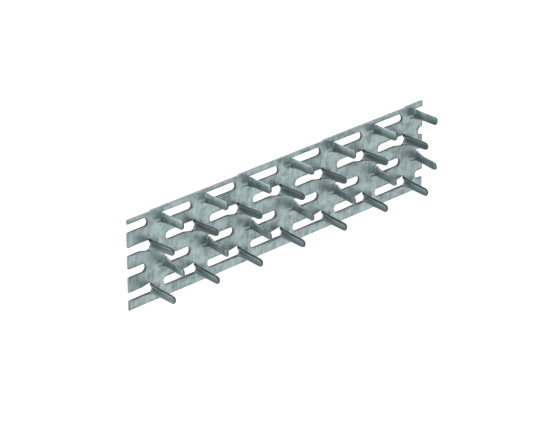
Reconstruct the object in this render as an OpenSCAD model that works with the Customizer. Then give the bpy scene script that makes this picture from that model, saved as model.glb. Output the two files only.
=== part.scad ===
// Truss nail plate: a strip of galvanised sheet steel with rows of teeth punched out of it.
// X runs along the strip, Y across it, Z from the flat back at Z = 0 towards the tooth tips.
// Every tooth was sheared from the slot beside it, pressed into a shallow channel and bent upright.

/* [Strip] */
// Length of the strip along X
plate_length = 132.4; // [80:0.1:200]
// Width of the strip across Y, at its highest edge step
plate_width = 32.6; // [25:0.1:60]
// Thickness of the sheet
sheet = 0.95; // [0.6:0.05:2]
// Height of the small shearing steps along the upper edge
edge_step = 0.35; // [0:0.05:1]
// Place of the first of those steps, from the left end
first_step = 10.1; // [2:0.1:30]

/* [Pattern] */
// Distance between one tooth and the next in the same row
pitch = 19.05; // [12:0.05:30]
// Number of teeth in each row
columns = 7; // [1:1:12]
// Distance between the two middle rows
middle_gap = 8.15; // [6:0.05:14]
// Distance from a middle row to the outer row beside it
outer_gap = 7.9; // [6:0.05:14]
// Shift of the whole pattern across the strip
row_shift = 0.85; // [-3:0.05:3]
// First fold of row 1, the upper outer row, from the left end
row1_fold = 13.6; // [4:0.05:18]
// First fold of row 2, the upper middle row, from the left end
row2_fold = 10.0; // [4:0.05:18]
// First fold of row 3, the lower middle row, from the left end
row3_fold = 14.15; // [4:0.05:18]
// First fold of row 4, the lower outer row, from the left end
row4_fold = 10.15; // [4:0.05:18]
// Shift of every second column to one side, and of the others to the other side
stagger = 0.22; // [0:0.01:1]

/* [Slots] */
// Width of a slot
slot_width = 3.1; // [2:0.05:6]
// Distance from the fold at which a slot starts to widen towards its root
flare_run = 4.7; // [2:0.1:8]
// Distance from the fold of the widest part of that flare
flare_peak = 1.3; // [0.5:0.05:3]
// Corner radius of the flare
flare_radius = 1.0; // [0.2:0.05:1.5]
// Width of the flare's corner beyond the side of a blunt slot
blunt_flare = 0.75; // [0:0.05:2]
// Width of the flare's corner beyond the side of a round slot
round_flare = 0.9; // [0:0.05:2]
// Distance from a slot's middle line to the flare's foot, at the fold
flare_foot = 0.95; // [0.5:0.05:1.5]
// Length of the slots in row 1, from the fold to the blunt end
row1_slot = 14.3; // [8:0.05:18]
// Length of the slots in row 2, from the fold to the round end
row2_slot = 13.6; // [8:0.05:18]
// Length of the slots in row 3, from the fold to the round end
row3_slot = 12.8; // [8:0.05:18]
// Length of the slots in row 4, from the fold to the blunt end
row4_slot = 14.9; // [8:0.05:18]
// Corner radius at the upper side of a blunt slot end
blunt_upper = 1.25; // [0.1:0.05:1.5]
// Corner radius at the lower side of a blunt slot end
blunt_lower = 0.55; // [0.1:0.05:1.5]
// How far a blunt slot end slants back at its upper side
blunt_cut = 1.2; // [0:0.05:3]
// Corner radius at the upper side of a round slot end
round_upper = 1.5; // [0.1:0.05:1.5]
// Corner radius at the lower side of a round slot end
round_lower = 1.5; // [0.1:0.05:1.5]
// How far a round slot end slants back at its upper side
round_cut = 0.95; // [-2:0.05:3]

/* [Teeth] */
// Height of a tooth's tip above the front of the sheet, at its long corner before rounding
tooth_height = 11.3; // [6:0.1:16]
// Inside radius of the fold between sheet and tooth, at the edges of the channel
fold_radius = 0.8; // [0.5:0.05:3]
// Depth of the channel that is pressed into a tooth
channel_depth = 0.6; // [0.1:0.05:1.2]
// Thickness of a tooth, thinned a little by the press
tooth_sheet = 0.88; // [0.5:0.01:2]
// Width of a tooth between its sheared sides
tooth_width = 3.0; // [2:0.05:6]
// Sideways lean of the blunt teeth in the outer rows
blunt_lean = 2.3; // [-10:0.1:10]
// Sideways lean of the round teeth in the middle rows
round_lean = 2.6; // [-10:0.1:10]
// How far a blunt tooth tip slants back at its upper side
blunt_rake = 0.45; // [-3:0.05:4]
// How far a round tooth tip slants back at its upper side
round_rake = 2.3; // [-3:0.05:4]
// Corner radius of a blunt tooth tip
blunt_tip = 1.3; // [0.1:0.05:1.5]
// Corner radius of a round tooth tip
round_tip = 1.45; // [0.1:0.05:1.5]
// Length over which the ridge of a tooth runs out into the sheet
ridge_run = 4.0; // [1:0.1:8]

/* [Hidden] */
zinc = [0.54, 0.59, 0.6];
eps = 0.05;
round_fn = 48;
corner_flats = 4;
fold_flats = 5;
edge_steps = 4;
left_end = -plate_length / 2;
right_end = plate_length / 2;
step_run = 2 * pitch;
fold_length = PI / 2 * (fold_radius + sheet / 2);
channel_half = 1.15 * tooth_width / 2;
sink = 0.04;

// One entry a row, from the upper edge down
middle_row = middle_gap / 2;
outer_row = middle_row + outer_gap;
row_y = [for (y = [outer_row, middle_row, -middle_row, -outer_row]) row_shift + y];
row_rounded = [false, true, true, false];
row_turn = [0, 180, 0, 180];
row_fold = [for (f = [row1_fold, row2_fold, row3_fold, row4_fold]) left_end + f];
row_slot = [row1_slot, row2_slot, row3_slot, row4_slot];

// Unit vector from one point to another
function toward(a, b) = (b - a) / norm(b - a);
// Half the angle of the corner at b
function half_corner(a, b, c) = acos(toward(b, a) * toward(b, c)) / 2;
// Point on the leg from b towards a where a rounding of radius r begins
function leg_point(a, b, c, r) = b + toward(b, a) * r / tan(half_corner(a, b, c));
// Centre of that rounding
function round_centre(a, b, c, r) =
    b + (toward(b, a) + toward(b, c)) / norm(toward(b, a) + toward(b, c)) * r / sin(half_corner(a, b, c));

// The sliver outside a rounding of radius r at the corner b
module corner_waste(a, b, c, r) {
    centre = round_centre(a, b, c, r);
    inward = toward(b, centre);
    difference() {
        polygon([leg_point(a, b, c, r), b - inward * r / 4, leg_point(c, b, a, r), centre]);
        translate(centre)
            rotate(atan2(inward.y, inward.x))
                circle(r = r, $fn = round_fn);
    }
}

// Points of a rounding of radius r at the corner b, in short flats
function arc_points(a, b, c, r) =
    let (
        centre = round_centre(a, b, c, r),
        from = leg_point(a, b, c, r) - centre,
        to = leg_point(c, b, a, r) - centre,
        turn = sign(cross(from, to)) * acos(toward([0, 0], from) * toward([0, 0], to))
    )
    [for (i = [0:corner_flats]) centre + r * [
        cos(atan2(from.y, from.x) + turn * i / corner_flats),
        sin(atan2(from.y, from.x) + turn * i / corner_flats)
    ]];

// Outline of one slot of length l, fold at the origin and slot towards +X, upper side towards +Y
module slot_outline(rounded, l) {
    h = slot_width / 2;
    foot = [0, -flare_foot];
    peak = [flare_peak, -h - (rounded ? round_flare : blunt_flare)];
    side = [flare_run, -h];
    end = [[0, h], [l - (rounded ? round_cut : blunt_cut), h], [l, -h], side];
    difference() {
        polygon(concat(end, arc_points(side, peak, foot, flare_radius), [foot]));
        corner_waste(end[0], end[1], end[2], rounded ? round_upper : blunt_upper);
        corner_waste(end[1], end[2], end[3], rounded ? round_lower : blunt_lower);
    }
}

// Height of the pressed channel at the distance v from its middle line
function channel(v) = channel_depth * (1 + cos(180 * min(1, abs(v) / channel_half))) / 2 - sink;

// Distance of a tooth's flared side from its middle line, at the distance l from the fold along the tooth
function flared_side(rounded, l) =
    lookup(l, [
        [0, flare_foot + sheet / 2],
        [flare_peak, tooth_width / 2 + 0.8 * (rounded ? round_flare : blunt_flare)],
        [flare_run, tooth_width / 2]
    ]);

// Places across a tooth at the distance l from the fold, from its flared side to its straight side
function across(rounded, l) =
    let (h = tooth_width / 2)
    [-flared_side(rounded, l), -h / 2, 0, h / 2, h];

// Sideways lean of a point at the height z
function lean_shift(rounded, z) = max(0, z - sheet) * tan(rounded ? -round_lean : blunt_lean);

// Ring of points round a tooth: front points of the list, then back points in reverse
function ring(rounded, front, back) =
    [for (p = concat(front, [for (i = [len(back) - 1:-1:0]) back[i]]))
        [p.x, p.y + lean_shift(rounded, p.z), p.z]];

// Ring of the ridge at the distance l before the fold: raised front, flat back inside the sheet
function ridge_ring(rounded, l) =
    let (
        rise = (1 + cos(180 * l / ridge_run)) / 2,
        v = across(rounded, 0)
    )
    ring(
        rounded,
        [for (y = v) [-l, y, sheet - sink + rise * (channel(y) + sink)]],
        [for (y = v) [-l, y, sheet / 2]]
    );

// Ring of the fold, turned by the angle a
function fold_ring(rounded, a) =
    let (
        v = across(rounded, fold_length * a / 90),
        front = [for (y = v) fold_radius - channel(y)]
    )
    ring(
        rounded,
        [for (i = [0:len(v) - 1]) [front[i] * sin(a), v[i], sheet + fold_radius - front[i] * cos(a)]],
        [for (i = [0:len(v) - 1], r = front[i] + tooth_sheet)
            [r * sin(a), v[i], sheet + fold_radius - r * cos(a)]]
    );

// Ring of the straight blade, at the height z above the fold
function blade_ring(rounded, z) =
    let (
        v = across(rounded, fold_length + z),
        base = sheet + fold_radius + z
    )
    ring(
        rounded,
        [for (y = v) [fold_radius - channel(y), y, base]],
        [for (y = v) [fold_radius - channel(y) + tooth_sheet, y, base]]
    );

// Side view that trims a tooth's tip, upper side towards +Y: wide round the flare, then the tip's own shape
module tip_outline(rounded) {
    h = tooth_width / 2;
    wide = 2 * tooth_width;
    shoulder = sheet + fold_radius + flare_run;
    top = sheet + tooth_height;
    rake = rounded ? round_rake : blunt_rake;
    r = rounded ? round_tip : blunt_tip;
    lean = lean_shift(rounded, top);
    p = [[h + lean, shoulder], [h + lean, top - rake], [lean - h, top], [lean - h, shoulder]];
    polygon(concat(
        [[wide, -eps], [wide, shoulder], p[0] + [eps, 0]],
        arc_points(p[0] + [eps, 0], p[1] + [eps, 0], p[2] - [eps, 0], r),
        arc_points(p[1] + [eps, 0], p[2] - [eps, 0], p[3] - [eps, 0], r),
        [p[3] - [eps, 0], [-wide, shoulder], [-wide, -eps]]
    ));
}

// Two triangles for a four-sided face
function split(a, b, c, d) = [[a, b, c], [a, c, d]];

// A closed skin over rings of equally many points, each ring a front edge and back, as ring() makes them
module skin(rings) {
    n = len(rings[0]);
    last = (len(rings) - 1) * n;
    polyhedron(
        [for (r = rings, p = r) p],
        concat(
            [for (i = [0:n / 2 - 2]) each split(n - 1 - i, n - 2 - i, i + 1, i)],
            [for (i = [0:n:last - 1], j = [0:n - 1])
                each split(i + j, i + (j + 1) % n, i + (j + 1) % n + n, i + j + n)],
            [for (i = [0:n / 2 - 2]) each split(last + i, last + i + 1, last + n - 2 - i, last + n - 1 - i)]
        )
    );
}

// One whole tooth in the place of its fold: ridge, quarter turn and blade in one sweep, and the tip trimmed
module tooth(rounded) {
    translate([-eps, 0, 0])
        mirror([0, rounded ? 1 : 0, 0])
            intersection() {
                skin(concat(
                    [for (l = [1, 0.5]) ridge_ring(rounded, l * ridge_run)],
                    [for (i = [0:fold_flats]) fold_ring(rounded, 90 * i / fold_flats)],
                    [for (z = [flare_run - fold_length, tooth_height]) blade_ring(rounded, z)]
                ));
                translate([-2 * ridge_run, 0, 0])
                    rotate([90, 0, 90])
                        linear_extrude(4 * ridge_run)
                            tip_outline(rounded);
            }
}

// Puts its children at one fold of one row
module at_fold(i, k) {
    translate([row_fold[i] + k * pitch, row_y[i] + (k % 2 == 0 ? -1 : 1) * stagger, 0])
        rotate([0, 0, row_turn[i]])
            children();
}

// The flat strip before the slots are cut: a straight lower edge, and an upper edge that climbs a
// small step at every second column and drifts back down to the next
module strip_outline() {
    top = plate_width / 2;
    first = left_end + first_step;
    last = first + (edge_steps - 1) * step_run;
    polygon(concat(
        [[left_end, -top], [right_end, -top]],
        [[right_end, top - edge_step * (right_end - last) / step_run]],
        [for (k = [edge_steps - 1:-1:0], low = [0, 1]) [first + k * step_run, top - low * edge_step]],
        [[left_end, top - edge_step * (1 - first_step / step_run)]]
    ));
}

// The whole plate
module nail_plate() {
    color(zinc) {
        linear_extrude(sheet)
            difference() {
                strip_outline();
                for (i = [0:3], k = [-1:columns])
                    at_fold(i, k)
                        mirror([0, row_rounded[i] ? 1 : 0])
                            slot_outline(row_rounded[i], row_slot[i]);
            }
        for (i = [0:3], k = [0:columns - 1])
            at_fold(i, k)
                tooth(row_rounded[i]);
    }
}

nail_plate();
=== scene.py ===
"""Truss nail plate: a strip of galvanised sheet steel with rows of punched teeth, lying on its back.

Units are metres in the part's own frame: X along the strip, Y across it, Z from the back towards the tips.
"""

import logging
import math
from dataclasses import dataclass, field
from enum import Enum

import bmesh
import bpy
from mathutils import Matrix, Vector
from mathutils.geometry import delaunay_2d_cdt


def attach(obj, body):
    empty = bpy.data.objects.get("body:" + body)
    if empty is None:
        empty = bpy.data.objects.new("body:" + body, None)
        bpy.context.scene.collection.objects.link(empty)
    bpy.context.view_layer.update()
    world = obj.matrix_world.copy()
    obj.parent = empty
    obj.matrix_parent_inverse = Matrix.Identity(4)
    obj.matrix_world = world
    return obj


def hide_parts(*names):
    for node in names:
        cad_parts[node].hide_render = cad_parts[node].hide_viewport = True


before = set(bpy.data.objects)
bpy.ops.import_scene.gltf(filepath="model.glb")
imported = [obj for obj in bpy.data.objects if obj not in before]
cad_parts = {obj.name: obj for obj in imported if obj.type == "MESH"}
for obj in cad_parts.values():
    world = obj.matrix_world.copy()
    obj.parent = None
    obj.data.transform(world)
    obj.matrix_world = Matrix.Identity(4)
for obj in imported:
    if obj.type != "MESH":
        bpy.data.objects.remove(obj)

LOG = logging.getLogger("nail_plate")
MM = 0.001
# Width of the rolled rim of a sheared edge, in millimetres.
ROLL = 0.1
# Half of the distance over which a slope is measured, in millimetres.
NUDGE = 0.02

Colour = tuple[float, float, float, float]


class Finish(Enum):
    """Names of the record's material slots."""

    GALVANISED = "galvanised_steel"


class Surface(Enum):
    """Kinds of face on the plate, each with its place in the mesh's list of materials."""

    COATED = 0
    # Sheared walls of the slots, bare steel darkened by painted shade.
    SLOT_WALL = 1
    TOOTH_SIDE = 2
    OUTER_EDGE = 3
    # Front rims painted with a highlight.
    BURNISHED = 4


class Signal:
    """One output socket of a shader graph, with arithmetic that adds Math nodes."""

    def __init__(self, graph: "ShaderGraph", socket: bpy.types.NodeSocket) -> None:
        """Wraps a socket.

        Args:
            graph: The graph that the socket belongs to.
            socket: The output socket.
        """
        self.graph = graph
        self.socket = socket

    def __add__(self, other: "Signal | float") -> "Signal":
        """This value plus another."""
        return self.graph.math("ADD", self, other)

    def __radd__(self, other: float) -> "Signal":
        """A number plus this value."""
        return self.graph.math("ADD", other, self)

    def __sub__(self, other: "Signal | float") -> "Signal":
        """This value less another."""
        return self.graph.math("SUBTRACT", self, other)

    def __rsub__(self, other: float) -> "Signal":
        """A number less this value."""
        return self.graph.math("SUBTRACT", other, self)

    def __mul__(self, other: "Signal | float") -> "Signal":
        """This value times another."""
        return self.graph.math("MULTIPLY", self, other)

    def __rmul__(self, other: float) -> "Signal":
        """A number times this value."""
        return self.graph.math("MULTIPLY", other, self)


class ShaderGraph:
    """The node tree of one material."""

    def __init__(self, name: str) -> None:
        """Makes a material with an empty tree.

        Args:
            name: The material's name.
        """
        self.material = bpy.data.materials.new(name)
        self.material.use_nodes = True
        self.tree = self.material.node_tree
        self.tree.nodes.clear()

    def node(
        self,
        kind: str,
        settings: dict | None = None,
        inputs: dict | None = None,
        output: str | int = 0,
    ) -> Signal:
        """Adds any node.

        Args:
            kind: The node's type.
            settings: Properties of the node, set first.
            inputs: Values or signals for its input sockets, by name or index.
            output: The output socket that is returned.

        Returns:
            The chosen output as a signal.
        """
        made = self.tree.nodes.new(kind)
        for key, value in (settings or {}).items():
            setattr(made, key, value)
        for key, value in (inputs or {}).items():
            socket = made.inputs[key]
            if isinstance(value, Signal):
                self.tree.links.new(value.socket, socket)
            else:
                socket.default_value = value
        return Signal(self, made.outputs[output])

    def math(self, operation: str, a: Signal | float, b: Signal | float) -> Signal:
        """Adds a Math node of two inputs."""
        return self.node("ShaderNodeMath", {"operation": operation}, {0: a, 1: b})

    def mix(self, share: Signal | float, a: Signal | tuple, b: Signal | tuple) -> Signal:
        """Mixes two colours by a share from 0 to 1."""
        return self.node(
            "ShaderNodeMix", {"data_type": "RGBA"}, {"Factor": share, "A": a, "B": b}, output="Result"
        )

    def place(self) -> Signal:
        """The point on the object, in metres."""
        return self.node("ShaderNodeTexCoord", output="Object")

    def stretched(self, scale: tuple[float, float, float], turn: float = 0.0) -> Signal:
        """Object coordinates scaled along each axis.

        Args:
            scale: Scale along X, Y and Z.
            turn: Turn about Z before scaling, in degrees.

        Returns:
            The scaled coordinates.
        """
        turned = self.node(
            "ShaderNodeVectorRotate",
            {"rotation_type": "Z_AXIS"},
            {"Vector": self.place(), "Angle": math.radians(turn)},
        )
        return self.node("ShaderNodeVectorMath", {"operation": "MULTIPLY"}, {0: turned, 1: scale})

    def noise(self, place: Signal, scale: float, detail: float = 3.0, roughness: float = 0.55) -> Signal:
        """Fractal noise from 0 to 1 around 0.5."""
        return self.node(
            "ShaderNodeTexNoise",
            {},
            {"Vector": place, "Scale": scale, "Detail": detail, "Roughness": roughness},
        )

    def ramp(self, value: Signal, low: float, high: float) -> Signal:
        """Maps a value so that low gives 0 and high gives 1, held between them."""
        return self.node(
            "ShaderNodeMapRange", {"clamp": True}, {"Value": value, "From Min": low, "From Max": high}
        )

    def finish(self, shader: Signal) -> bpy.types.Material:
        """Joins a shader to the output and returns the material."""
        out = self.tree.nodes.new("ShaderNodeOutputMaterial")
        self.tree.links.new(shader.socket, out.inputs["Surface"])
        return self.material


@dataclass(frozen=True)
class GalvanisedSteel:
    """Dull zinc coating with a soft spangle, drawing streaks and darker stains.

    The coating runs from the dark colour to the light one by its tone, a sum of spangle, streaks and clouds
    that is spread over the tone range. Where the mesh carries painted shade, on the teeth, it nears the
    shaded colour.
    """

    light: Colour = (0.415, 0.505, 0.51, 1.0)
    dark: Colour = (0.2, 0.262, 0.27, 1.0)
    # Colour of the painted shade on the teeth's channels and folds.
    shaded: Colour = (0.165, 0.215, 0.225, 1.0)
    metallic: float = 0.85
    roughness: float = 0.44
    roughness_spread: float = 0.12
    spangle_scale: float = 520.0
    spangle_share: float = 0.15
    streak_scale: tuple[float, float, float] = (1100.0, 160.0, 400.0)
    streak_turn: float = 8.0
    streak_share: float = 0.4
    cloud_scale: float = 230.0
    cloud_detail: float = 6.0
    cloud_roughness: float = 0.6
    cloud_share: float = 0.6
    tone_range: tuple[float, float] = (0.42, 0.68)
    bump_distance: float = 0.00008
    bump_strength: float = 0.5

    def build(self) -> bpy.types.Material:
        """Makes the material."""
        g = ShaderGraph("galvanised_steel")
        spangle = g.node(
            "ShaderNodeTexVoronoi",
            {"feature": "F1"},
            {"Vector": g.place(), "Scale": self.spangle_scale},
            output="Color",
        )
        grain = g.node("ShaderNodeSeparateColor", {}, {"Color": spangle})
        streaks = g.noise(g.stretched(self.streak_scale, self.streak_turn), 1.0)
        clouds = g.noise(g.place(), self.cloud_scale, self.cloud_detail, self.cloud_roughness)
        mottling = self.spangle_share * grain + self.streak_share * streaks + self.cloud_share * clouds
        tone = g.ramp(mottling, *self.tone_range)
        # Painted shade: the mesh's share of it pulls the coating towards the shaded colour.
        painted_shade = g.node("ShaderNodeAttribute", {"attribute_name": "painted_shade"}, output="Fac")
        colour = g.mix(painted_shade, g.mix(tone, self.dark, self.light), self.shaded)
        rough = self.roughness + self.roughness_spread * (clouds - 0.5)
        bump = g.node(
            "ShaderNodeBump",
            {},
            {
                "Strength": self.bump_strength,
                "Distance": self.bump_distance,
                "Height": 0.5 * clouds + 0.5 * streaks,
            },
        )
        shader = g.node(
            "ShaderNodeBsdfPrincipled",
            {},
            {"Base Color": colour, "Metallic": self.metallic, "Roughness": rough, "Normal": bump},
        )
        return g.finish(shader)


@dataclass(frozen=True)
class ShearedSteel:
    """Bare steel on the sheared faces and rims, in copies of which some carry painted shade or a painted
    highlight.
    """

    name: str
    # The dark of the slot walls: bare steel with painted shade.
    colour: Colour = (0.09, 0.105, 0.11, 1.0)
    roughness: float = 0.55
    metallic: float = 0.8

    def build(self) -> bpy.types.Material:
        """Makes the material."""
        g = ShaderGraph(self.name)
        shader = g.node(
            "ShaderNodeBsdfPrincipled",
            {},
            {"Base Color": self.colour, "Metallic": self.metallic, "Roughness": self.roughness},
        )
        return g.finish(shader)


FINISHES = {
    Surface.COATED: GalvanisedSteel(),
    # Slot walls and outer edges are a shaded and a lit copy of one bare steel: the slot walls are darker by
    # painted shade, for the shade inside the slots.
    Surface.SLOT_WALL: ShearedSteel("shaded_slot_walls"),
    # Tooth sides: bare steel, darkened partly by painted shade to go with the shade on the teeth.
    Surface.TOOTH_SIDE: ShearedSteel("tooth_sides", (0.115, 0.145, 0.15, 1.0), 0.5),
    Surface.OUTER_EDGE: ShearedSteel("outer_edges", (0.3, 0.345, 0.35, 1.0), 0.5),
    # Near-white front rims along the round teeth's flared side: a painted highlight where the rolled edge
    # catches the light.
    Surface.BURNISHED: ShearedSteel("painted_highlight_rims", (0.8, 0.86, 0.86, 1.0), 0.35, 0.3),
}


@dataclass(frozen=True)
class StudioFloor:
    """A matt pale floor, a little below the plate's back, with a glow that keeps it light in the slots."""

    colour: Colour = (0.92, 0.92, 0.92, 1.0)
    roughness: float = 0.9
    glow: float = 0.8
    side: float = 6.0
    drop: float = 0.02 * MM

    def build(self) -> bpy.types.Object:
        half = self.side / 2
        mesh = bpy.data.meshes.new("studio_floor")
        corners = [(-half, -half, 0.0), (half, -half, 0.0), (half, half, 0.0), (-half, half, 0.0)]
        mesh.from_pydata(corners, [], [(0, 1, 2, 3)])
        g = ShaderGraph("pale_floor")
        shader = g.node(
            "ShaderNodeBsdfPrincipled",
            {},
            {
                "Base Color": self.colour,
                "Roughness": self.roughness,
                "Emission Color": self.colour,
                "Emission Strength": self.glow,
            },
        )
        mesh.materials.append(g.finish(shader))
        floor = bpy.data.objects.new("studio_floor", mesh)
        floor.location.z = -self.drop
        bpy.context.scene.collection.objects.link(floor)
        return floor


@dataclass(frozen=True)
class SoftBox:
    """One square area light that looks at the plate."""

    name: str
    place: tuple[float, float, float]
    side: float
    watts: float

    def build(self) -> bpy.types.Object:
        """Makes the light."""
        lamp = bpy.data.lights.new(self.name, "AREA")
        lamp.shape = "SQUARE"
        lamp.size = self.side
        lamp.energy = self.watts
        made = bpy.data.objects.new(self.name, lamp)
        made.location = self.place
        made.rotation_euler = (-Vector(self.place)).to_track_quat("-Z", "Y").to_euler()
        bpy.context.scene.collection.objects.link(made)
        return made


@dataclass(frozen=True)
class Camera:
    """A long lens that looks down on the plate, rolled so that the strip climbs to the right."""

    place: tuple[float, float, float] = (-0.76729, 0.55328, 0.82884)
    target: tuple[float, float, float] = (-0.00223, -0.00428, 0.00082)
    up: tuple[float, float, float] = (0.30627, 0.89634, -0.32058)
    lens: float = 249.3
    near: float = 0.1
    far: float = 20.0

    def build(self) -> bpy.types.Object:
        """Makes the scene's camera."""
        data = bpy.data.cameras.new("camera")
        data.lens = self.lens
        data.clip_start = self.near
        data.clip_end = self.far
        made = bpy.data.objects.new("camera", data)
        back = (Vector(self.place) - Vector(self.target)).normalized()
        right = Vector(self.up).cross(back).normalized()
        axes = Matrix((right, back.cross(right), back)).transposed()
        made.matrix_world = Matrix.Translation(self.place) @ axes.to_4x4()
        bpy.context.scene.collection.objects.link(made)
        bpy.context.scene.camera = made
        return made


@dataclass
class Studio:
    """The floor, the lights, the sky and the camera."""

    sky: Colour = (0.9, 0.93, 0.95, 1.0)
    sky_strength: float = 0.05
    lights: list[SoftBox] = field(
        default_factory=lambda: [
            SoftBox("mirror_light", (1.0, -1.0, 1.41), 1.2, 7.5),
            SoftBox("right_light", (1.41, 0.0, 1.41), 1.2, 6.0),
            SoftBox("corner_light", (-1.33, 1.33, 0.68), 1.2, 15.0),
            SoftBox("left_light", (-1.65, 0.0, 1.13), 1.2, 13.0),
            SoftBox("back_light", (0.94, 1.63, 0.68), 1.2, 16.0),
            SoftBox("front_light", (0.0, -1.41, 1.41), 1.2, 4.5),
        ]
    )

    def build(self) -> None:
        """Makes everything round the plate."""
        scene = bpy.context.scene
        scene.view_settings.view_transform = "Standard"
        world = bpy.data.worlds.new("studio_sky")
        world.use_nodes = True
        background = world.node_tree.nodes["Background"]
        background.inputs["Color"].default_value = self.sky
        background.inputs["Strength"].default_value = self.sky_strength
        scene.world = world
        StudioFloor().build()
        for light in self.lights:
            light.build()
        Camera().build()
        LOG.info("studio: floor, %d lights and camera", len(self.lights))


def rounded(corners: list[Vector], radii: list[float], flats: int = 7) -> list[Vector]:
    """Rounds the inner corners of an open line.

    Args:
        corners: Points of the line.
        radii: Radius at each inner corner, or 0 to leave it sharp.
        flats: Number of flats in each rounding.

    Returns:
        The points of the rounded line.
    """
    line = [corners[0]]
    for before, corner, after, radius in zip(corners, corners[1:], corners[2:], radii):
        if not radius:
            line.append(corner)
            continue
        one, two = (before - corner).normalized(), (after - corner).normalized()
        half = one.angle(two) / 2
        centre = corner + (one + two).normalized() * radius / math.sin(half)
        start = corner + one * radius / math.tan(half) - centre
        end = corner + two * radius / math.tan(half) - centre
        turn = math.atan2(start.x * end.y - start.y * end.x, start.dot(end))
        for i in range(flats + 1):
            spin = Matrix.Rotation(turn * i / flats, 2)
            line.append(centre + spin @ start)
    return [*line, corners[-1]]


def divided(line: list[Vector], step: float) -> list[Vector]:
    """Cuts the long stretches of a line into equal parts no longer than a step."""
    slack = 1e-6
    cut = [line[0]]
    for a, b in zip(line, line[1:]):
        parts = max(1, math.ceil((b - a).length / step - slack))
        cut.extend(a.lerp(b, i / parts) for i in range(1, parts + 1))
    return cut


def sideways(line: list[Vector], closed: bool) -> list[Vector]:
    """Directions square to a line at its points, to the right of its run, longer where it turns.

    Args:
        line: Points of the line.
        closed: Whether the last point joins the first.

    Returns:
        One direction a point, so that a step along them moves every stretch by the same distance.
    """
    count = len(line)
    # A step grows to twice its length at most, however sharp the turn.
    least_share = 0.5
    ways = []
    for i, point in enumerate(line):
        runs = []
        if closed or i > 0:
            runs.append((point - line[i - 1]).normalized())
        if closed or i < count - 1:
            runs.append((line[(i + 1) % count] - point).normalized())
        normals = [Vector((run.y, -run.x)) for run in runs]
        mean = sum(normals, Vector((0.0, 0.0))).normalized()
        ways.append(mean / max(least_share, mean.dot(normals[0])))
    return ways


def held(value: float) -> float:
    """A value held between 0 and 1."""
    return min(1.0, max(0.0, value))


def hump(distance: float) -> float:
    """A smooth hump, 1 at the middle and 0 from distance 1 on either side."""
    return (1 + math.cos(math.pi * min(1.0, abs(distance)))) / 2


def inside(point: Vector, ring: list[Vector]) -> bool:
    """Whether a point lies inside a closed ring of points."""
    found = False
    for a, b in zip(ring, ring[1:] + ring[:1]):
        if (a.y > point.y) != (b.y > point.y) and point.x < a.x + (point.y - a.y) * (b.x - a.x) / (b.y - a.y):
            found = not found
    return found


@dataclass(frozen=True)
class Press:
    """The press work on the sheet, in millimetres.

    A blank is measured by s, along a tooth from its fold, and v, across it towards its straight side.
    Negative s lies in the sheet behind the fold.

    The teeth thin from the sheet's thickness to tooth_sheet over thinning_run. The fold's radius is the inner
    one. At the fold the channel is channel_depth deep and twice channel_half wide, and its rounded nose
    reaches back into the sheet. The sheet swells round the fold by swell, and is flat from swell_reach on.
    """

    sheet: float = 0.95
    tooth_sheet: float = 0.88
    fold_radius: float = 0.8
    channel_depth: float = 0.56
    channel_half: float = 1.725
    nose: float = 3.6
    swell: float = 0.1
    swell_reach: float = 4.4
    thinning_run: float = 3.0

    @property
    def bend(self) -> float:
        """Radius of the fold at the middle of the sheet."""
        return self.fold_radius + self.sheet / 2

    @property
    def fold_length(self) -> float:
        """Length of blank that the quarter turn takes up."""
        return math.pi / 2 * self.bend

    def lift(self, s: float, v: float) -> float:
        """Height that the channel's nose and the swelling give the sheet round one tooth."""
        nose = self.channel_depth * hump(math.hypot(min(0.0, s) / self.nose, v / self.channel_half))
        return nose + self.swell * hump(math.hypot(s, v) / self.swell_reach)

    def middle(self, s: float, v: float, cut: "Cut") -> Vector:
        """Point of the formed tooth at the middle of the sheet.

        Args:
            s: Distance along the blank from the fold.
            v: Distance across it.
            cut: The kind of tooth.

        Returns:
            The point, with X along the slot, Y across it and Z upwards.
        """
        if s <= 0:
            return Vector((s, v, self.sheet / 2 + self.lift(s, v)))
        swell = self.swell * hump(math.hypot(s, v) / self.swell_reach)
        # The section goes from the channel at the fold to an arc at the end of the curl's run.
        curled = 1 - hump(s / cut.curl_run)
        arc = v / cut.curl
        dip = (1 - curled) * self.channel_depth * hump(v / self.channel_half)
        dip += curled * (self.channel_depth - cut.curl * (1 - math.cos(arc)))
        across = v + curled * (cut.shift + cut.curl * math.sin(arc) - v)
        radius = self.bend - dip
        full = math.pi / 2 + cut.tilt
        turn = full * min(1.0, s / self.fold_length)
        past = max(0.0, s - self.fold_length)
        rise = self.sheet + self.fold_radius - radius * math.cos(turn) + past * math.sin(full)
        reach = radius * math.sin(turn) + past * math.cos(full)
        spin = cut.twist * curled
        across, reach = across * math.cos(spin), reach + across * math.sin(spin)
        return Vector((reach, across + cut.lean * max(0.0, rise - self.sheet), rise + swell))

    def formed(self, s: float, v: float, cut: "Cut", w: float) -> Vector:
        """Point of the formed tooth at any depth in the sheet.

        Args:
            s: Distance along the blank from the fold.
            v: Distance across it.
            cut: The kind of tooth.
            w: Depth, from 1 at the front to -1 at the back.

        Returns:
            The point in the slot's own axes.
        """
        along = self.middle(s + NUDGE, v, cut) - self.middle(s - NUDGE, v, cut)
        across = self.middle(s, v + NUDGE, cut) - self.middle(s, v - NUDGE, cut)
        thick = self.sheet + (self.tooth_sheet - self.sheet) * held(s / self.thinning_run)
        return self.middle(s, v, cut) + along.cross(across).normalized() * w * thick / 2


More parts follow.
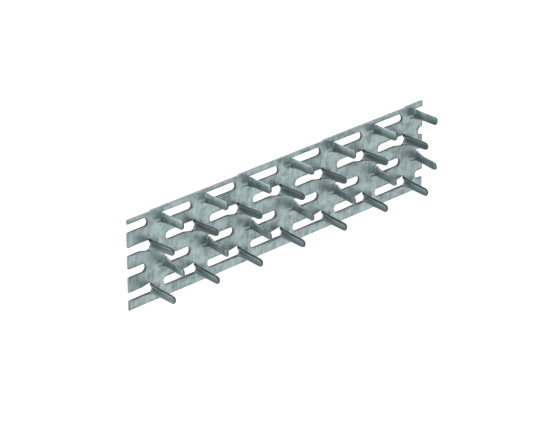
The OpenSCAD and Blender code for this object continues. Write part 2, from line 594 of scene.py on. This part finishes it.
@dataclass(frozen=True)
class Cut:
    """One kind of slot and the tooth that is sheared from it, in millimetres.

    The slot's far end has an upper and a lower corner, on the tooth's straight and flared side, and the slant
    is how much sooner the upper one comes. The tip is cut back in the same way by the rake. Near the fold the
    slot flares on its lower side, from the foot out to the peak and back to its plain width at the run's end.
    The tooth has tooth_flare_share of that flare.

    lean is a slope: how far the tooth goes over to its straight side for each millimetre that it rises. tilt
    is the angle by which it is bent past upright and twist turns it about its upright axis, both in radians.
    shift moves it towards its straight side. curl is the radius of the arc that its section follows, and
    curl_run the length of blank over which the channel becomes that arc.

    A wide rim is rolled wider along the flared side, by wide_roll at most, and near the fold its front band
    carries a painted highlight.
    """

    upper_radius: float
    lower_radius: float
    slant: float
    flare: float
    rake: float
    tip_radius: float
    tooth_height: float
    lean: float
    tilt: float
    shift: float
    curl: float
    twist: float = 0.0
    curl_run: float = 3.2
    half_slot: float = 1.55
    half_tooth: float = 1.5
    foot: float = 0.95
    flare_peak: float = 1.3
    flare_run: float = 4.7
    flare_radius: float = 1.0
    flare_end_radius: float = 6.0
    tooth_flare_share: float = 0.8
    slot_step: float = 0.5
    tooth_step: float = 0.4
    wide_rim: bool = False
    wide_roll: float = 0.15
    wide_roll_run: float = 8.0
    # Length of blank from the fold that carries the painted highlight on a wide rim.
    highlight_run: float = 8.5

    def slot_line(self, length: float) -> list[Vector]:
        """Edge of the slot from the fold's upper end, round the slot's far end, to the fold's lower end."""
        h = self.half_slot
        corners = [(0, h), (length - self.slant, h), (length, -h), (self.flare_run, -h)]
        corners += [(self.flare_peak, -h - self.flare), (0, -self.foot)]
        radii = [self.upper_radius, self.lower_radius, self.flare_end_radius, self.flare_radius]
        return divided(rounded([Vector(c) for c in corners], radii), self.slot_step)

    def tooth_line(self, press: Press) -> list[Vector]:
        """Edge of the tooth's blank from the fold's lower end, round the tip, to the fold's upper end."""
        h = self.half_tooth
        tip = press.fold_length + self.tooth_height - press.fold_radius
        peak = h + self.tooth_flare_share * self.flare
        corners = [(0, -self.foot), (self.flare_peak, -peak), (self.flare_run, -h)]
        corners += [(tip, -h), (tip - self.rake, h), (self.flare_peak, h), (0, self.half_slot)]
        radii = [self.flare_radius, self.flare_end_radius, self.tip_radius, self.tip_radius, 0]
        return divided(rounded([Vector(c) for c in corners], radii), self.tooth_step)


BLUNT = Cut(
    upper_radius=1.5, lower_radius=1.1, slant=0.9, flare=0.75, rake=0.45, tip_radius=1.3,
    tooth_height=11.25, lean=0.06, tilt=0.044, shift=0.0, curl=2.5,
)
ROUND = Cut(
    upper_radius=1.5, lower_radius=1.5, slant=0.95, flare=0.9, rake=0.5, tip_radius=1.42,
    tooth_height=10.95, lean=0.03, tilt=0.078, shift=0.15, curl=3.0, twist=0.12, wide_rim=True,
)


@dataclass(frozen=True)
class Row:
    """One row of teeth.

    line is the row's place across the strip, and fold the first fold's distance from the strip's left end.
    slot is the length of the slots. In a turned row they run to the left of their folds.
    """

    line: float
    fold: float
    slot: float
    cut: Cut
    turned: bool


@dataclass(frozen=True)
class Tooth:
    """One tooth and its slot, in its place on the strip."""

    row: Row
    fold: Vector
    press: Press

    @property
    def along(self) -> int:
        """Way from the fold into the slot: 1 for +X and -1 for -X."""
        return -1 if self.row.turned else 1

    @property
    def upward(self) -> int:
        """Way to the tooth's straight side: 1 for +Y and -1 for -Y."""
        return 1 if (self.row.cut is ROUND) == self.row.turned else -1

    @property
    def mirrored(self) -> bool:
        """Whether the slot's own axes are the strip's in a mirror."""
        return self.along * self.upward < 0

    def to_strip(self, place: Vector) -> Vector:
        """Moves a point from the slot's axes to the strip's."""
        moved = Vector((self.fold.x + self.along * place[0], self.fold.y + self.upward * place[1]))
        return moved if len(place) == 2 else Vector((*moved, place[2]))

    def to_slot(self, place: Vector) -> Vector:
        """Moves a flat point from the strip's axes to the slot's."""
        return Vector(((place.x - self.fold.x) * self.along, (place.y - self.fold.y) * self.upward))

    def edge(self) -> list[Vector]:
        """Edge of the slot on the strip, running with the metal on its right."""
        line = self.row.cut.slot_line(self.row.slot)
        return [self.to_strip(p) for p in (line if self.mirrored else reversed(line))]

    def formed(self, place: Vector, w: float) -> Vector:
        """Point of the tooth on the strip, from its place on the blank and its depth in the sheet."""
        return self.to_strip(self.press.formed(place.x, place.y, self.row.cut, w))

    def roll(self, place: Vector) -> float:
        """Width of the rolled rim at a place on the blank's edge."""
        cut = self.row.cut
        if not cut.wide_rim or place.y >= 0:
            return ROLL
        return ROLL + cut.wide_roll * held(place.x) * hump(place.x / cut.wide_roll_run)


@dataclass(frozen=True)
class Mark:
    """One point of an outline and the width of its rolled rim. At the end of a fold it names the tooth."""

    place: Vector
    tooth: Tooth | None = None
    roll: float = ROLL


@dataclass(frozen=True)
class Station:
    """Four vertices through the sheet at one point of its edge, and the flat place of the front one.

    The place is in the strip's axes for a point of an outline, and in the slot's for one of a tooth's edge.
    """

    inset: Vector
    front: int
    upper: int
    lower: int
    back: int


class Skin:
    """Vertices and faces of a mesh in the making, in millimetres."""

    def __init__(self) -> None:
        """Starts with nothing."""
        self.points: list[Vector] = []
        self.painted_shade: list[float] = []
        self.faces: list[tuple[int, ...]] = []
        self.surfaces: list[Surface] = []

    def point(self, place: Vector, painted_shade: float = 0.0) -> int:
        """Adds a vertex, with its share of painted shade, and returns its number."""
        self.points.append(place)
        self.painted_shade.append(painted_shade)
        return len(self.points) - 1

    def face(self, corners: tuple[int, ...], surface: Surface, flip: bool = False) -> None:
        """Adds a face."""
        self.faces.append(tuple(reversed(corners)) if flip else corners)
        self.surfaces.append(surface)

    def sheet(self, triangles: list[tuple[int, ...]], front: list[int], back: list[int], flip: bool) -> None:
        """Adds the coated front and back of a piece of sheet.

        Args:
            triangles: Triangles of the flat piece, as places in the two lists.
            front: Its vertices on the front.
            back: Its vertices on the back, in the same order.
            flip: Whether the flat piece was filled in axes that are the strip's in a mirror.
        """
        for corners in triangles:
            self.face(tuple(front[i] for i in corners), Surface.COATED, flip)
            self.face(tuple(back[i] for i in corners), Surface.COATED, not flip)

    def wall(self, a: Station, b: Station, surface: Surface, rim: Surface, flip: bool = False) -> None:
        """Adds the three bands of a sheared edge between two stations.

        Args:
            a: The first station.
            b: The second one.
            surface: Kind of the middle band.
            rim: Kind of the front band.
            flip: Whether the metal lies to the left of the way from a to b.
        """
        self.face((a.front, b.front, b.upper, a.upper), rim, flip)
        self.face((a.upper, b.upper, b.lower, a.lower), surface, flip)
        self.face((a.lower, b.lower, b.back, a.back), Surface.COATED, flip)


def filled(rings: list[list[Vector]], extra: list[Vector]) -> list[tuple[int, ...]]:
    """Fills flat outlines with triangles.

    Args:
        rings: Closed outlines, of the metal and of its holes, all running with the metal on their right.
        extra: Points inside, to be corners too.

    Returns:
        Triangles, as numbers of the rings' points in order and then of the extra ones.
    """
    edges: list[tuple[int, int]] = []
    for ring in rings:
        start = len(edges)
        edges += [(start + i, start + (i + 1) % len(ring)) for i in range(len(ring))]
    points = [p for ring in rings for p in ring] + extra
    closeness = 1e-5
    _, _, faces, originals, _, _ = delaunay_2d_cdt(points, edges, [], 0, closeness, True)
    triangles = [tuple(originals[i][0] for i in corners) for corners in faces]
    # Triangles outside the metal are found by spreading from those behind each wall, up to the next wall.
    sides = [list(zip(corners, corners[1:] + corners[:1])) for corners in triangles]
    beside = {side: number for number, around in enumerate(sides) for side in around}
    walls = set(edges)
    empty: set[int] = set()
    queue = [beside[wall] for wall in walls if wall in beside]
    while queue:
        number = queue.pop()
        if number not in empty:
            empty.add(number)
            queue += [beside[b, a] for a, b in sides[number] if (a, b) not in walls and (b, a) in beside]
    return [corners for number, corners in enumerate(triangles) if number not in empty]


@dataclass(frozen=True)
class PaintedShade:
    """How much painted shade the coating of a tooth gets, from 0 to 1.

    The back gets painted shade inside its channel, where shade falls in the hollow. The front gets painted
    shade at the fold, over the fold's highlight, and a little along the rest of the tooth, darkening it as
    shade would.
    """

    channel_shade_gain: float = 2.5
    blade_shade: float = 0.12
    fold_shade: float = 0.6
    fold_shade_middle: float = 0.7
    fold_shade_half: float = 2.4

    def at(self, place: Vector, w: float, press: Press) -> float:
        """Share of painted shade at one point of a tooth.

        Args:
            place: Its place on the blank.
            w: Its depth, from 1 at the front to -1 at the back.
            press: The press, for the channel's width.

        Returns:
            The share.
        """
        # Painted shade in the back's channel, and at the fold and along the blade on the front.
        channel = held(self.channel_shade_gain * hump(place.y / press.channel_half))
        blade_shaded = self.blade_shade * held(place.x)
        fold_shaded = self.fold_shade * hump((place.x - self.fold_shade_middle) / self.fold_shade_half)
        return max(max(0.0, -w) * channel, max(0.0, w) * max(blade_shaded, fold_shaded))


@dataclass(frozen=True)
class Grid:
    """Spacing of the mesh's points inside its outlines, in millimetres.

    On the strip, points keep clear of the edges and the slots by a margin each. A patch of close rows and
    columns lies round each fold, and wide ones fill the rest. On a tooth, the first lines across lie close,
    to follow the fold, and those up the blade lie wider.
    """

    edge_margin: float = 0.4
    slot_margin: float = 0.3
    close: float = 0.36
    close_columns: int = 22
    close_rows: int = 19
    fold_column: float = 14.7
    wide: float = 0.85
    patch_behind: float = 5.6
    patch_beyond: float = 2.7
    patch_half: float = 3.7
    fold_parts: int = 9
    fold_margin: float = 0.12
    tooth_margin: float = 0.36
    fold_lines: int = 12
    fold_spacing: float = 0.22
    blade_spacing: float = 0.42
    blade_end: float = 12.5
    across_spacing: float = 0.3
    across_count: int = 17

    def in_patch(self, place: Vector) -> bool:
        """Whether a place in a slot's axes lies in the close patch round its fold."""
        return -self.patch_behind < place.x < self.patch_beyond and abs(place.y) < self.patch_half

    def patch(self) -> list[Vector]:
        """Points of the close patch, in the slot's axes."""
        middle = self.close_rows // 2
        return [
            Vector((self.close * (i - self.fold_column), self.close * (j - middle + 0.5 * (i % 2))))
            for i in range(self.close_columns)
            for j in range(self.close_rows)
        ]

    def blade(self, line: list[Vector], ways: list[Vector]) -> list[Vector]:
        """Points inside a tooth's blank.

        Args:
            line: The blank's edge.
            ways: Directions out of the metal at its points.

        Returns:
            Staggered points, clear of the edge.
        """
        clear = [p - way * self.tooth_margin for p, way in zip(line, ways)]
        clear[0].x = clear[-1].x = self.fold_margin
        runs = [self.fold_spacing * i for i in range(1, self.fold_lines + 1)]
        while runs[-1] < self.blade_end:
            runs.append(runs[-1] + self.blade_spacing)
        half = self.across_count // 2
        points = [
            Vector((s, self.across_spacing * (j + 0.5 * (i % 2))))
            for i, s in enumerate(runs)
            for j in range(-half, half + 1)
        ]
        return [p for p in points if inside(p, clear)]


@dataclass
class NailPlate:
    """The whole plate, formed from one flat strip, in millimetres.

    The upper edge falls by edge_step over every two pitches and climbs back in a short slant, first_step from
    the left end and edge_steps times in all. Every second column of folds is staggered to the other side.
    """

    node: str = "nail_plate"
    length: float = 132.4
    width: float = 32.6
    edge_step: float = 0.35
    first_step: float = 10.1
    edge_steps: int = 4
    half_slant: float = 0.15
    edge_division: float = 0.8
    low_roll: float = 0.2
    least_gap: float = 0.25
    pitch: float = 19.05
    columns: int = 7
    stagger: float = 0.22
    lifted_reach: float = 8.0
    press: Press = field(default_factory=Press)
    grid: Grid = field(default_factory=Grid)
    shade_painting: PaintedShade = field(default_factory=PaintedShade)
    rows: tuple[Row, ...] = (
        Row(12.825, 13.6, 14.3, BLUNT, False),
        Row(4.925, 10.0, 13.6, ROUND, True),
        Row(-3.225, 14.15, 12.8, ROUND, False),
        Row(-11.125, 10.15, 14.9, BLUNT, True),
    )

    def __post_init__(self) -> None:
        """Places the teeth, and the slots that the strip's ends cut through."""
        self.skin = Skin()
        self.left, self.right, self.top = -self.length / 2, self.length / 2, self.width / 2
        self.cuts: list[Tooth] = []
        self.teeth: list[Tooth] = []
        for row in self.rows:
            for column in range(-1, self.columns + 1):
                cut = Tooth(row, self._fold(row, column), self.press)
                self.cuts.append(cut)
                if 0 <= column < self.columns:
                    self.teeth.append(cut)

    def _fold(self, row: Row, column: int) -> Vector:
        """Middle of one fold."""
        side = -1 if column % 2 == 0 else 1
        return Vector((self.left + row.fold + column * self.pitch, row.line + side * self.stagger))

    def formed(self, place: Vector, w: float) -> Vector:
        """Point of the strip after the press has lifted it round the teeth.

        Args:
            place: Its place on the flat strip.
            w: Its depth, from 1 at the front to -1 at the back.

        Returns:
            The point.
        """
        half_sheet = self.press.sheet / 2
        near = min(self.teeth, key=lambda tooth: (tooth.fold - place).length_squared)
        s, v = near.to_slot(place)
        if math.hypot(s, v) > self.lifted_reach:
            return Vector((*place, half_sheet * (1 + w)))
        lift = self.press.lift
        fall_along = (lift(s - NUDGE, v) - lift(s + NUDGE, v)) / (2 * NUDGE)
        fall_across = (lift(s, v - NUDGE) - lift(s, v + NUDGE)) / (2 * NUDGE)
        normal = Vector((fall_along * near.along, fall_across * near.upward, 1.0)).normalized()
        middle = Vector((*place, half_sheet + lift(s, v)))
        return middle + normal * w * half_sheet

    def _top_at(self, x: float) -> float:
        """Height of the stepped upper edge at a place along the strip."""
        run = (x - self.left - self.first_step) / (2 * self.pitch)
        return self.top - self.edge_step * (run % 1.0)

    def _inner(self, place: Vector, margin: float) -> bool:
        """Whether a point lies on the strip, clear of its outer edges by a margin."""
        between_ends = abs(place.x) < self.right - margin
        return between_ends and margin - self.top < place.y < self._top_at(place.x) - margin

    def _spaced(self, piece: list[Mark]) -> list[Mark]:
        """A piece without the inner marks that crowd one of its ends."""
        ends = (piece[0], piece[-1])
        crowded = [m for m in piece[1:-1] if min((m.place - e.place).length for e in ends) < self.least_gap]
        return [m for m in piece if m not in crowded]

    def _clipped(self, cut: Tooth) -> list[list[Mark]]:
        """Pieces of a slot's edge that lie on the strip, from one end of the fold or strip to the other."""
        line = cut.edge()
        marks = [Mark(p, cut if i in (0, len(line) - 1) else None) for i, p in enumerate(line)]
        pieces, piece = [], []
        for a, b in zip(marks, marks[1:] + [None]):
            on_strip = abs(a.place.x) <= self.right
            if on_strip:
                piece.append(a)
            if b and on_strip != (abs(b.place.x) <= self.right):
                end = math.copysign(self.right, a.place.x)
                share = (end - a.place.x) / (b.place.x - a.place.x)
                piece.append(Mark(a.place.lerp(b.place, share)))
            if piece and (b is None or on_strip and abs(b.place.x) > self.right):
                pieces.append(self._spaced(piece))
                piece = []
        return pieces

    def _upper_edge(self) -> list[Mark]:
        """The stepped upper edge, from left to right."""
        line = [Vector((self.left, self._top_at(self.left)))]
        for i in range(self.edge_steps):
            x = self.left + self.first_step + 2 * i * self.pitch
            line.append(Vector((x - self.half_slant, self.top - self.edge_step)))
            line.append(Vector((x + self.half_slant, self.top)))
        line.append(Vector((self.right, self._top_at(self.right))))
        return [Mark(p) for p in divided(line, self.edge_division)]

    def _lower_edge(self) -> list[Mark]:
        """The straight lower edge, from right to left, with its wider roll."""
        line = [Vector((self.right, -self.top)), Vector((self.left, -self.top))]
        return [Mark(p, roll=self.low_roll) for p in divided(line, self.edge_division)]

    def _loops(self) -> list[list[Mark]]:
        """Outlines of the flat strip, each running with the metal on its right, the outer one first."""
        open_cuts: dict[int, list[tuple[float, list[Mark]]]] = {-1: [], 1: []}
        loops: list[list[Mark]] = []
        for cut in self.cuts:
            pieces = self._clipped(cut)
            if not pieces:
                continue
            ends = [p for piece in pieces for p in (piece[0], piece[-1]) if p.tooth is None]
            if not ends:
                loops.append(pieces[0])
                continue
            # A slot that the strip's end cuts through becomes part of the outer edge, through its fold.
            order = [*pieces[1], *pieces[0]] if len(pieces) == 2 else pieces[0]
            open_cuts[1 if ends[0].place.x > 0 else -1].append((cut.fold.y, order))
        outer = self._upper_edge()
        for _, marks in sorted(open_cuts[1], key=lambda item: -item[0]):
            outer += marks
        outer += self._lower_edge()
        for _, marks in sorted(open_cuts[-1], key=lambda item: item[0]):
            outer += marks
        return [outer, *loops]

    def _stations(self, loop: list[Mark]) -> list[Station]:
        """Puts the vertices of a sheared edge along an outline."""
        made = []
        for mark, way in zip(loop, sideways([mark.place for mark in loop], True)):
            if mark.tooth:
                way = Vector((-mark.tooth.along, 0.0))
            inset = mark.place + way * mark.roll
            edge = 1 - 2 * mark.roll / self.press.sheet
            points = [(inset, 1.0), (mark.place, edge), (mark.place, -edge), (inset, -1.0)]
            made.append(Station(inset, *(self.skin.point(self.formed(p, w)) for p, w in points)))
        return made

    def _spread(self) -> list[Vector]:
        """Points inside the flat strip: close round the teeth, where it is lifted, and wider elsewhere."""
        holes = []
        for cut in self.cuts:
            line = cut.edge()
            ring = [p + way * self.grid.slot_margin for p, way in zip(line, sideways(line, False))]
            xs, ys = [p.x for p in ring], [p.y for p in ring]
            holes.append((ring, min(xs), max(xs), min(ys), max(ys)))

        def free(p: Vector) -> bool:
            """Whether a point is clear of the strip's edges and of every slot."""
            return self._inner(p, self.grid.edge_margin) and not any(
                x0 < p.x < x1 and y0 < p.y < y1 and inside(p, ring) for ring, x0, x1, y0, y1 in holes
            )

        patch = self.grid.patch()
        spread = [p for tooth in self.teeth for p in map(tooth.to_strip, patch) if free(p)]
        wide = self.grid.wide
        for i in range(int(self.length / wide)):
            for j in range(int(self.width / wide)):
                p = Vector((self.left + wide * (i + 0.5 + 0.5 * (j % 2)), -self.top + wide * (j + 0.5)))
                if free(p) and not any(self.grid.in_patch(tooth.to_slot(p)) for tooth in self.teeth):
                    spread.append(p)
        return spread

    def _form_strip(self) -> None:
        """Makes the sheet between the teeth, and each tooth as its fold is reached."""
        on_edge = 0.01
        rings, front, back = [], [], []
        loops = self._loops()
        for loop in loops:
            stations = self._stations(loop)
            ring = []
            for i, mark in enumerate(loop):
                j = (i + 1) % len(loop)
                ring.append(stations[i].inset)
                front.append(stations[i].front)
                back.append(stations[i].back)
                if mark.tooth and loop[j].tooth:
                    places, fronts, backs = self._cross_fold(mark, loop[j], (stations[i], stations[j]))
                    ring += places
                    front += fronts
                    back += backs
                    continue
                outside = mark.tooth is None and loop is loops[0] and not self._inner(mark.place, on_edge)
                surface = Surface.OUTER_EDGE if outside else Surface.SLOT_WALL
                rim = Surface.TOOTH_SIDE if outside and mark.roll > ROLL else Surface.COATED
                self.skin.wall(stations[i], stations[j], surface, rim)
            rings.append(ring)
        spread = self._spread()
        front += [self.skin.point(self.formed(p, 1.0)) for p in spread]
        back += [self.skin.point(self.formed(p, -1.0)) for p in spread]
        self.skin.sheet(filled(rings, spread), front, back, False)

    def _cross_fold(
        self, mark: Mark, after: Mark, ends: tuple[Station, Station]
    ) -> tuple[list[Vector], list[int], list[int]]:
        """Puts vertices along a fold and makes its tooth.

        Args:
            mark: The outline's mark at the fold's near end.
            after: Its mark at the far end.
            ends: Their stations.

        Returns:
            The flat places between the marks, their vertices on the front and those on the back.
        """
        parts = self.grid.fold_parts
        places = [mark.place.lerp(after.place, n / parts) for n in range(1, parts)]
        fronts = [self.skin.point(self.formed(p, 1.0)) for p in places]
        backs = [self.skin.point(self.formed(p, -1.0)) for p in places]
        way = 1 if mark.tooth.to_slot(mark.place).y < 0 else -1
        self._raise(mark.tooth, ends[::way], places[::way], fronts[::way], backs[::way])
        return places, fronts, backs

    def _raise(
        self,
        tooth: Tooth,
        ends: tuple[Station, Station],
        places: list[Vector],
        fronts: list[int],
        backs: list[int],
    ) -> None:
        """Makes one tooth from its fold to its tip.

        Args:
            tooth: The tooth.
            ends: Stations at the lower and upper end of its fold.
            places: Flat places of the points along the fold, from its lower end.
            fronts: Their vertices on the front.
            backs: Their vertices on the back.
        """
        cut = tooth.row.cut
        line = cut.tooth_line(self.press)
        ways = sideways(line, False)
        chain = [ends[0]]
        for p, way in zip(line[1:-1], ways[1:-1]):
            roll = tooth.roll(p)
            edge = 1 - 2 * roll / self.press.tooth_sheet
            inset = p - way * roll
            points = [(inset, 1.0), (p, edge), (p, -edge), (inset, -1.0)]
            chain.append(Station(inset, *(self._tooth_point(tooth, q, w) for q, w in points)))
        chain.append(ends[1])
        # The fold's upper end is in the strip's axes, so some round teeth have a painted highlight face there
        # too.
        for a, b in zip(chain, chain[1:]):
            highlighted = cut.wide_rim and a is not ends[0] and b.inset.y < 0 and b.inset.x < cut.highlight_run
            rim = Surface.BURNISHED if highlighted else Surface.COATED
            self.skin.wall(a, b, Surface.TOOTH_SIDE, rim, not tooth.mirrored)
        free_edge = chain[-2:0:-1]
        ring = [tooth.to_slot(p) for p in (ends[0].inset, *places, ends[1].inset)]
        ring += [station.inset for station in free_edge]
        front = [ends[0].front, *fronts, ends[1].front, *(station.front for station in free_edge)]
        back = [ends[0].back, *backs, ends[1].back, *(station.back for station in free_edge)]
        extra = self.grid.blade(line, ways)
        front += [self._tooth_point(tooth, p, 1.0) for p in extra]
        back += [self._tooth_point(tooth, p, -1.0) for p in extra]
        self.skin.sheet(filled([ring], extra), front, back, tooth.mirrored)

    def _tooth_point(self, tooth: Tooth, place: Vector, w: float) -> int:
        """Adds one vertex of a formed tooth, with its share of painted shade."""
        return self.skin.point(tooth.formed(place, w), self.shade_painting.at(place, w, self.press))

    def _mesh(self) -> bpy.types.Mesh:
        """Turns the skin into a mesh in metres, with its materials, and checks that it is closed."""
        # Where the sheet is lifted at the strip's ends it leans out a little, and is held to the cut length.
        for p in self.skin.points:
            p.x = max(self.left, min(self.right, p.x))
        mesh = bpy.data.meshes.new("formed_plate")
        mesh.from_pydata([p * MM for p in self.skin.points], [], self.skin.faces)
        for surface in Surface:
            mesh.materials.append(FINISHES[surface].build())
        mesh.polygons.foreach_set("material_index", [surface.value for surface in self.skin.surfaces])
        mesh.shade_smooth()
        # Each vertex's share of painted shade, read by the coating's material.
        painted_shade = mesh.attributes.new("painted_shade", "FLOAT", "POINT")
        painted_shade.data.foreach_set("value", self.skin.painted_shade)
        work = bmesh.new()
        work.from_mesh(mesh)
        for edge in work.edges:
            edge.smooth = len({face.material_index for face in edge.link_faces}) == 1
        work.to_mesh(mesh)
        triangles = sum(len(face) - 2 for face in self.skin.faces)
        bad_edges = sum(not (edge.is_manifold and edge.is_contiguous) for edge in work.edges)
        volume = work.calc_volume(signed=True) / MM**3
        LOG.info("formed_plate: %d triangles, %d bad edges, %.0f mm3", triangles, bad_edges, volume)
        work.free()
        return mesh

    def build(self) -> bpy.types.Object:
        """Makes the formed plate in place of the solid."""
        self._form_strip()
        plate = bpy.data.objects.new("formed_plate", self._mesh())
        bpy.context.scene.collection.objects.link(plate)
        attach(plate, "root")
        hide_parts(self.node)
        return plate


def main() -> None:
    """Builds the studio and the plate, in order."""
    logging.basicConfig(level=logging.INFO)
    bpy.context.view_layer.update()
    Studio().build()
    NailPlate().build()


if __name__ == "__main__":
    main()
